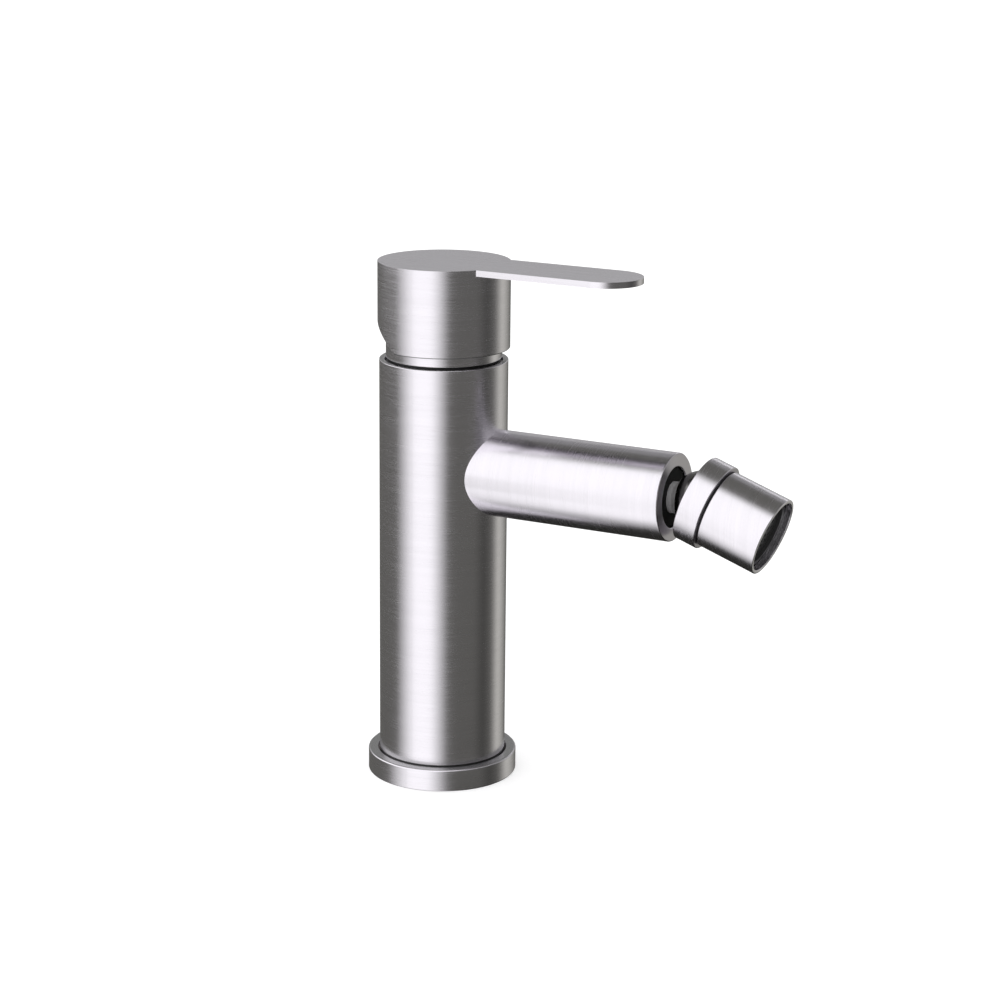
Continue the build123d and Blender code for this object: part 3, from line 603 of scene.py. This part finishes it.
class MIXER_OT_handle(bpy.types.Operator):
    """Hollow cap cut away behind, with a flat paddle flush with its top"""

    bl_idname = "mixer.handle"
    bl_label = "Handle"

    def execute(self, context):
        low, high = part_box("handle")
        radius = high.x
        inner = radius - sizes().handle_wall
        half = sizes().paddle_width / 2
        under = high.z - sizes().paddle_thickness
        tip = -low.y - half
        root_y = -sqrt(radius**2 - half**2)
        root_turn = 2 * asin(half / radius)
        steps = sizes().segments
        bm = bmesh.new()

        def arc(start, centre, angle, count):
            made = bmesh.ops.spin(
                bm, geom=[start], cent=centre, axis=UP, angle=angle, steps=count, use_merge=False, use_duplicate=False
            )
            return verts_of(made["geom_last"])[0]

        # Cap wall: the rear arc and the short arc under the paddle, raised to the paddle's underside
        first = bm.verts.new((half, root_y, low.z))
        arc(first, (0, 0, low.z), 2 * pi - root_turn, steps)
        second = bm.verts.new((-half, root_y, low.z))
        arc(second, (0, 0, low.z), root_turn, steps // 5)
        bmesh.ops.remove_doubles(bm, verts=bm.verts[:], dist=WELD)
        outer_loop = bm.edges[:]
        wall = bmesh.ops.extrude_edge_only(bm, edges=outer_loop)
        raised = verts_of(wall["geom"])
        bmesh.ops.translate(bm, verts=raised, vec=(0, 0, under - low.z))
        wall_top = edges_of(wall["geom"])

        # Paddle outline at its underside, from one root to the other
        known = set(bm.edges)
        left = min(raised, key=lambda v: (v.co - Vector((-half, root_y, under))).length)
        right = min(raised, key=lambda v: (v.co - Vector((half, root_y, under))).length)
        tip_left = bm.verts.new((-half, -tip, under))
        bm.edges.new((left, tip_left))
        tip_right = arc(tip_left, (0, -tip, under), pi, steps // 2)
        bm.edges.new((tip_right, right))
        paddle = [edge for edge in bm.edges if edge not in known]
        front = [edge for edge in wall_top if all(v.co.y < root_y + sizes().edge / 3 for v in edge.verts)]
        rear = [edge for edge in wall_top if edge not in front]
        bmesh.ops.edgenet_fill(bm, edges=paddle + front)

        # Upper band and top face
        band = bmesh.ops.extrude_edge_only(bm, edges=rear + paddle)
        bmesh.ops.translate(bm, verts=verts_of(band["geom"]), vec=(0, 0, high.z - under))
        bmesh.ops.edgenet_fill(bm, edges=edges_of(band["geom"]))

        # Hollow: the bottom edge drawn in to the bore, then raised and closed
        rim = bmesh.ops.extrude_edge_only(bm, edges=outer_loop)
        for vert in verts_of(rim["geom"]):
            vert.co.xy = vert.co.xy.normalized() * inner
        bore = bmesh.ops.extrude_edge_only(bm, edges=edges_of(rim["geom"]))
        bmesh.ops.translate(bm, verts=verts_of(bore["geom"]), vec=(0, 0, under - low.z))
        bmesh.ops.edgenet_fill(bm, edges=edges_of(bore["geom"]))

        # Oblique cut behind
        slope = sizes().rear_cut_angle
        cut = bmesh.ops.bisect_plane(
            bm,
            geom=bm.verts[:] + bm.edges[:] + bm.faces[:],
            plane_co=(0, sizes().rear_cut_start, low.z),
            plane_no=(0, sin(slope), -cos(slope)),
            clear_outer=True,
        )
        bmesh.ops.edgenet_fill(bm, edges=[edge for edge in edges_of(cut["geom_cut"]) if edge.is_boundary])
        bmesh.ops.recalc_face_normals(bm, faces=bm.faces[:])

        def lower_outer(edge):
            middle = (edge.verts[0].co + edge.verts[1].co) / 2
            return middle.z < low.z + sizes().edge / 3 and middle.xy.length > radius - sizes().edge

        break_edges(bm, sizes().cap_edge, lower_outer)
        paddle_edge = sizes().edge * 0.8
        break_edges(bm, paddle_edge)
        upward = 0.7
        # Faces looking up take the flat top's grain; the cap's lower outer round is painted dark: painted shade under
        # the cap's edge.
        for face in bm.faces:
            middle = face.calc_center_median()
            if face.normal.z > upward:
                face.material_index = 1
            elif middle.z < low.z + sizes().cap_edge and middle.xy.length < radius - 0.01 * MM:
                face.material_index = 2
        new_piece(
            bm, "lever_handle", "lever", [steel_round_body(), steel_flat_top(), cap_edge_painted_shade()],
            ["handle"],
        )
        return {"FINISHED"}


class MIXER_OT_hub(bpy.types.Operator):
    """Cast hub and screw boss inside the cap"""

    bl_idname = "mixer.hub"
    bl_label = "Handle hub"

    def execute(self, context):
        low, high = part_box("stem")
        cap_low, cap_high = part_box("handle")
        plug_low, plug_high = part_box("screw_plug")
        under = cap_high.z - sizes().paddle_thickness
        room, boss_wall, back_shift = 1.1, 0.85 * MM, 0.6 * MM
        radius = room * (plug_high.x + (high.x - low.x) / 2)
        lean = (low.y + high.y) / 2 - 0.5 * MM
        foot_share = 0.7
        foot = PIVOT.z + (high.z - PIVOT.z) * foot_share
        bm = bmesh.new()
        bmesh.ops.create_cone(
            bm, cap_ends=True, segments=64, radius1=radius, radius2=radius, depth=under - foot,
            matrix=Matrix.Translation((0, lean - back_shift, (under + foot) / 2)),
        )
        boss_height = (plug_low.z + plug_high.z) / 2
        boss_radius = plug_high.x + boss_wall
        length = cap_high.y - sizes().handle_wall - lean
        bmesh.ops.create_cone(
            bm, cap_ends=True, segments=48, radius1=boss_radius, radius2=boss_radius, depth=length,
            matrix=Matrix.Translation((0, lean + length / 2, boss_height)) @ Matrix.Rotation(pi / 2, 4, "X"),
        )
        break_edges(bm, sizes().edge)
        new_piece(bm, "handle_hub", "lever", [cast_metal()], ["handle"])
        return {"FINISHED"}


class MIXER_OT_ball(bpy.types.Operator):
    """Ball stem with its flared neck, and the loose ring round it"""

    bl_idname = "mixer.ball"
    bl_label = "Ball stem"

    def execute(self, context):
        low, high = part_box("ball_stem")
        ball = high.x
        bore, lip, neck = sizes().ball_bore, sizes().lip_radius, sizes().neck_radius
        back = high.y - BALL.y
        ring_low, ring_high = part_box("neck_ring")
        shoulder = ring_high.y - BALL.y
        front = BALL.y - low.y
        front_turn = acos(front / ball)
        lip_turn = pi - asin(lip / ball)
        ball_arc = arc_points(ball, front_turn, lip_turn, 32)
        lip_place = ball * cos(lip_turn)
        flare_steps = 8
        flare = [
            (lip_place - sizes().flare_length * part / flare_steps, neck + (lip - neck) * (1 - part / flare_steps) ** 2)
            for part in range(1, flare_steps + 1)
        ]
        points = [(front, bore), *ball_arc, *flare, (-shoulder, neck), (-back, neck), (-back, bore)]
        # The ball past the lip, and its bore, are painted dark steel: painted shade behind the neck's lip.
        turned_piece(
            "ball_and_neck", points, BALL, SPOUT_AXIS, "mixer_body",
            [blasted_neck(), ball_painted_shade(), ball_painted_shade()], ["ball_stem"], edge=0.25 * MM,
            groove=(lip_place + 0.25 * MM, front + MM, ball + MM),
        )
        ring = [
            (BALL.y - ring_high.y, neck + SKIN),
            (BALL.y - ring_high.y, ring_high.x),
            (BALL.y - ring_low.y, ring_high.x),
            (BALL.y - ring_low.y, neck + SKIN),
        ]
        # The washer is painted near black: painted shade in the spout's mouth.
        turned_piece(
            "neck_washer", ring, BALL, SPOUT_AXIS, "swivel_ring", [dark_plastic_painted_shade()], ["neck_ring"],
            edge=0.15 * MM,
        )
        return {"FINISHED"}


class MIXER_OT_nozzle(bpy.types.Operator):
    """Collar and sleeve of the swivelling nozzle"""

    bl_idname = "mixer.nozzle"
    bl_label = "Nozzle"

    def execute(self, context):
        back, width = sizes().collar_back, sizes().collar_width
        radius, sleeve = sizes().collar_radius, sizes().sleeve_radius
        lip_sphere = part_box("ball_stem")[1].x + SKIN
        pocket = 0.8 * MM
        thread = sleeve - 0.9 * MM
        way = thread - 1.2 * MM
        hole, partition = thread - 3 * MM, 2.6 * MM
        overlap = 0.2 * MM
        lip_arc = arc_points(lip_sphere, acos(pocket / lip_sphere), acos(back / lip_sphere), 10)
        collar_front = back + width
        collar = [
            *lip_arc,
            (back, radius),
            (collar_front, radius),
            (collar_front, thread),
            (pocket, thread),
        ]
        turned_piece(
            "swivel_collar", collar, BALL, NOZZLE_AXIS, "nozzle", [steel_round_nozzle(), turned_face()],
            ["nozzle_collar"], edge=0.4 * MM,
        )
        reach = sizes().nozzle_reach
        inner = sleeve - sizes().sleeve_wall
        floor = reach - sizes().outlet_depth
        body = [
            (collar_front - overlap, way),
            (collar_front - overlap, sleeve - sizes().groove_depth),
            (collar_front + sizes().groove_height, sleeve - sizes().groove_depth),
            (collar_front + sizes().groove_height, sleeve),
            (reach, sleeve),
            (reach, inner),
            (floor, inner),
            (floor, hole),
            (floor - partition, hole),
            (floor - partition, way),
        ]
        # The groove in front of the collar is painted near black: painted shade for the dark line there.
        turned_piece(
            "outlet_sleeve", body, BALL, NOZZLE_AXIS, "nozzle",
            [steel_round_nozzle(), steel_round_nozzle(), groove_painted_shade()], ["nozzle_sleeve"], edge=0.25 * MM,
            groove=(collar_front - MM, collar_front + sizes().groove_height, sleeve - SKIN),
        )
        return {"FINISHED"}


# Finishes of the pieces that keep their own shape, and the painted shade of the ball and its washer


def cast_metal():
    return plain_finish("cast_metal", (0.5, 0.49, 0.48), 1.0, 0.5)


def dark_plastic_painted_shade():
    """Dark plastic in the spout's mouth, coloured darker still as painted shade there, with hardly any gloss."""
    material = plain_finish("dark_plastic_painted_shade", (0.006, 0.006, 0.006), 0.0, 0.7)
    material.node_tree.nodes["Principled BSDF"].inputs["Specular IOR Level"].default_value = 0.15
    return material


def blasted_neck():
    """The neck catches soft light, so it isn't mirror dark inside the mouth."""
    return plain_finish("blasted_neck", (0.62, 0.61, 0.62), 0.42, 0.35)


# Dark steel for the ball: painted shade behind the neck's lip.
def ball_painted_shade():
    return plain_finish("ball_painted_shade", (0.24, 0.235, 0.23), 1.0, 0.22)


def turned_steel():
    return satin_steel("turned_steel", across=(0.02, 1.0, 0.02))


class MIXER_OT_finishes(bpy.types.Operator):
    """Finishes of the pieces kept from the frame"""

    bl_idname = "mixer.finishes"
    bl_label = "Inner finishes"

    def execute(self, context):
        record = frame["record"]
        finishes = {
            "satin_steel": steel_round_body(),
            "turned_steel": turned_steel(),
            "brass": plain_finish("machined_brass", (0.72, 0.53, 0.26), 1.0, 0.28),
            "copper_tube": plain_finish("drawn_copper", (0.78, 0.42, 0.28), 1.0, 0.25),
            "black_rubber": plain_finish("black_rubber", (0.022, 0.022, 0.023), 0.0, 0.7),
            "ceramic": plain_finish("lapped_ceramic", (0.85, 0.83, 0.78), 0.0, 0.18),
            "grey_plastic": plain_finish("aerator_plastic", (0.028, 0.028, 0.028), 0.0, 0.45),
            "white_plastic": plain_finish("white_plastic", (0.8, 0.8, 0.78), 0.0, 0.4),
        }
        slots = {part["node"]: part["material_slot"] for part in record["subparts"]}
        for node, piece in NODES.items():
            for slot in piece.material_slots:
                slot.material = finishes[slots[node]]
        return {"FINISHED"}


# The studio


FLOOR_HALF = 4.0
CARD_STEPS = 96
FOOT_WALL = (
    # degrees to the camera's right, brightness: a soft box in a dark room
    (-180, 0.02), (-120, 0.02), (-60, 1.0), (-20, 1.0), (20, 0.02),
)
LOW_WALL = (
    # the soft box and, behind on the right, a black flag beside a strip light
    (-180, 0.1), (-90, 0.1), (-50, 1.0), (-20, 1.0), (10, 0.1), (60, 0.1), (80, 0.05), (100, 0.1), (120, 0.5),
    (160, 0.1),
)
MIDDLE_WALL = (
    (-180, 0.35), (-140, 0.35), (-120, 1.0), (-8, 1.0), (12, 0.1), (90, 0.09), (106, 0.35), (170, 0.35),
)
LEDGE_WALL = (
    (-180, 0.42), (-140, 0.42), (-112, 1.0), (-8, 1.0), (12, 0.1), (90, 0.1),
    (106, 0.42), (132, 0.42), (143, 1.0), (160, 1.0), (174, 0.42),
)
HIGH_WALL = (
    (-180, 0.22), (-140, 0.22), (-120, 1.0), (-8, 1.0), (12, 0.35), (90, 0.35), (106, 0.22), (170, 0.22),
)
WALL_PARTS = (
    # name, bottom and top in metres, brightness round it, whether it is tinted
    ("foot_wall", -1.35, -0.6, FOOT_WALL, True),
    ("low_wall", -0.6, 0.05, LOW_WALL, True),
    ("middle_wall", 0.05, 0.45, MIDDLE_WALL, False),
    ("ledge_wall", 0.45, 0.62, LEDGE_WALL, False),
    ("high_wall", 0.62, 1.3, HIGH_WALL, False),
)
LEVEL_PARTS = (
    # name, height, brightness at places along X, all in metres
    ("ceiling_card", 1.3, ((-0.5, 1.0), (-0.1, 0.1))),
    ("floor_card", -1.35, ((-1.0, 1.0), (0.0, 0.02))),
)


def glow(name):
    """An even light; its strength is set by what is joined to it."""
    material = bpy.data.materials.new(name)
    material.use_nodes = True
    nodes, links = material.node_tree.nodes, material.node_tree.links
    nodes.clear()
    emission = nodes.new("ShaderNodeEmission")
    out = nodes.new("ShaderNodeOutputMaterial")
    links.new(emission.outputs["Emission"], out.inputs["Surface"])
    return material, nodes, links, emission


def level(brightness, tinted):
    """A dim light takes the tint; a full one stays white."""
    tint = studio().tint if tinted and brightness < 1 else (1, 1, 1)
    return (*[brightness * part for part in tint], 1)


def fill_ramp(nodes, stops):
    colours = nodes.new("ShaderNodeValToRGB")
    band = colours.color_ramp
    while len(band.elements) < len(stops):
        band.elements.new(0.5)
    for element, (position, colour) in zip(band.elements, stops):
        element.position = position
        element.color = colour
    return colours


def wall_glow(name, stops, tinted):
    """Brightness that changes softly round the wall."""
    material, nodes, links, emission = glow(name)
    place = nodes.new("ShaderNodeTexCoord")
    turn = nodes.new("ShaderNodeMapping")
    turn.inputs["Rotation"].default_value = (0, 0, radians(90) - studio().azimuth)
    links.new(place.outputs["Object"], turn.inputs["Vector"])
    around = nodes.new("ShaderNodeTexGradient")
    around.gradient_type = "RADIAL"
    links.new(turn.outputs["Vector"], around.inputs["Vector"])
    colours = fill_ramp(
        nodes, [((degrees_right + 180) / 360, level(brightness, tinted)) for degrees_right, brightness in stops]
    )
    links.new(around.outputs["Color"], colours.inputs["Fac"])
    links.new(colours.outputs["Color"], emission.inputs["Color"])
    emission.inputs["Strength"].default_value = studio().wall_strength
    return material


def level_glow(name, stops):
    """Brightness that changes softly along X, over a floor or ceiling as wide as the wall."""
    material, nodes, links, emission = glow(name)
    place = nodes.new("ShaderNodeTexCoord")
    shift = nodes.new("ShaderNodeMapping")
    width = 2 * studio().wall_radius
    shift.inputs["Scale"].default_value = (1 / width,) * 3
    shift.inputs["Location"].default_value = (0.5, 0, 0)
    links.new(place.outputs["Object"], shift.inputs["Vector"])
    along = nodes.new("ShaderNodeTexGradient")
    along.gradient_type = "LINEAR"
    links.new(shift.outputs["Vector"], along.inputs["Vector"])
    colours = fill_ramp(nodes, [(x / width + 0.5, level(brightness, True)) for x, brightness in stops])
    links.new(along.outputs["Color"], colours.inputs["Fac"])
    links.new(colours.outputs["Color"], emission.inputs["Color"])
    emission.inputs["Strength"].default_value = studio().wall_strength
    return material


def white_world():
    world = bpy.data.worlds.new("white_studio")
    bpy.context.scene.world = world
    world.use_nodes = True
    world.node_tree.nodes["Background"].inputs["Color"].default_value = (1, 1, 1, 1)
    world.node_tree.nodes["Background"].inputs["Strength"].default_value = 1.0


def white_floor(size):
    """Pale floor that keeps the shadow and looks white to the eye."""
    mesh = bpy.data.meshes.new("studio_floor")
    bm = bmesh.new()
    bmesh.ops.create_grid(bm, x_segments=1, y_segments=1, size=size)
    bmesh.ops.translate(bm, verts=bm.verts[:], vec=(0, 0, CAD_BOX[0][2]))
    bm.to_mesh(mesh)
    bm.free()
    floor = bpy.data.objects.new("studio_floor", mesh)
    bpy.context.scene.collection.objects.link(floor)
    material, nodes, links, shader = node_material("floor_white")
    shader.inputs["Base Color"].default_value = (0.88, 0.88, 0.88, 1)
    shader.inputs["Roughness"].default_value = 1.0
    shader.inputs["Specular IOR Level"].default_value = 0.0
    shader.inputs["Emission Color"].default_value = (1, 1, 1, 1)
    path = nodes.new("ShaderNodeLightPath")
    lift = nodes.new("ShaderNodeMath")
    lift.operation = "MULTIPLY"
    lift.inputs[1].default_value = studio().floor_lift
    links.new(path.outputs["Is Camera Ray"], lift.inputs[0])
    links.new(lift.outputs["Value"], shader.inputs["Emission Strength"])
    mesh.materials.append(material)
    floor.visible_glossy = False


def stage_card(bm, name, material):
    """A light that only reflections show."""
    mesh = bpy.data.meshes.new(name)
    bm.to_mesh(mesh)
    bm.free()
    mesh.materials.append(material)
    card = bpy.data.objects.new(name, mesh)
    bpy.context.scene.collection.objects.link(card)
    card.visible_camera = False
    card.visible_shadow = False
    card.visible_diffuse = False


def studio_camera():
    """Stands the camera where the photograph was taken from."""
    settings = studio()
    camera = bpy.data.objects.new("camera", bpy.data.cameras.new("camera"))
    camera.data.sensor_width = 36
    camera.data.lens = settings.lens
    camera.data.clip_start = 0.01
    level = Matrix.Rotation(settings.azimuth, 3, "Z")
    forward = level @ Vector((0, cos(settings.pitch), -sin(settings.pitch)))
    right = level @ Vector((1, 0, 0))
    up = right.cross(forward)
    turned_right = cos(settings.roll) * right + sin(settings.roll) * up
    turned_up = cos(settings.roll) * up - sin(settings.roll) * right
    axes = Matrix((turned_right, turned_up, -forward)).transposed().to_4x4()
    camera.matrix_world = Matrix.Translation(settings.place) @ axes
    bpy.context.scene.collection.objects.link(camera)
    bpy.context.scene.camera = camera


class MIXER_OT_stage(bpy.types.Operator):
    """Camera, white studio and the cards that the steel reflects"""

    bl_idname = "mixer.stage"
    bl_label = "Studio"

    def execute(self, context):
        studio_camera()
        white_world()
        white_floor(FLOOR_HALF)
        radius = studio().wall_radius
        for name, bottom, top, stops, tinted in WALL_PARTS:
            bm = bmesh.new()
            foot = bm.verts.new((radius, 0, bottom))
            head = bm.verts.new((radius, 0, top))
            edge = bm.edges.new((foot, head))
            bmesh.ops.spin(
                bm, geom=[foot, head, edge], cent=(0, 0, 0), axis=UP, angle=2 * pi, steps=CARD_STEPS, use_merge=True
            )
            stage_card(bm, name, wall_glow(name, stops, tinted))
        for name, height, stops in LEVEL_PARTS:
            bm = bmesh.new()
            bmesh.ops.create_circle(
                bm, cap_ends=True, segments=CARD_STEPS, radius=radius, matrix=Matrix.Translation((0, 0, height))
            )
            stage_card(bm, name, level_glow(name, stops))
        bpy.context.scene.view_settings.view_transform = "Standard"
        return {"FINISHED"}


STEPS = (
    MIXER_OT_flange,
    MIXER_OT_body,
    MIXER_OT_spout,
    MIXER_OT_dome,
    MIXER_OT_handle,
    MIXER_OT_hub,
    MIXER_OT_ball,
    MIXER_OT_nozzle,
    MIXER_OT_finishes,
    MIXER_OT_stage,
)


class MIXER_PT_panel(bpy.types.Panel):
    """Lists the mixer's pieces"""

    bl_label = "Bidet mixer"
    bl_idname = "MIXER_PT_panel"
    bl_space_type = "VIEW_3D"
    bl_region_type = "UI"
    bl_category = "Mixer"

    def draw(self, context):
        for step in STEPS:
            self.layout.operator(step.bl_idname)
        for group in (context.scene.mixer_sizes, context.scene.mixer_finish, context.scene.mixer_studio):
            box = self.layout.box()
            for name in group.__annotations__:
                box.prop(group, name)


CLASSES = (MixerSizes, MixerFinish, StudioSettings, *STEPS, MIXER_PT_panel)


def register():
    for item in CLASSES:
        bpy.utils.register_class(item)
    bpy.types.Scene.mixer_sizes = bpy.props.PointerProperty(type=MixerSizes)
    bpy.types.Scene.mixer_finish = bpy.props.PointerProperty(type=MixerFinish)
    bpy.types.Scene.mixer_studio = bpy.props.PointerProperty(type=StudioSettings)


def unregister():
    del bpy.types.Scene.mixer_studio
    del bpy.types.Scene.mixer_finish
    del bpy.types.Scene.mixer_sizes
    for item in reversed(CLASSES):
        bpy.utils.unregister_class(item)


def main():
    """Builds every piece."""
    register()
    for step in STEPS:
        group, name = step.bl_idname.split(".")
        getattr(getattr(bpy.ops, group), name)()


if __name__ == "__main__":
    main()
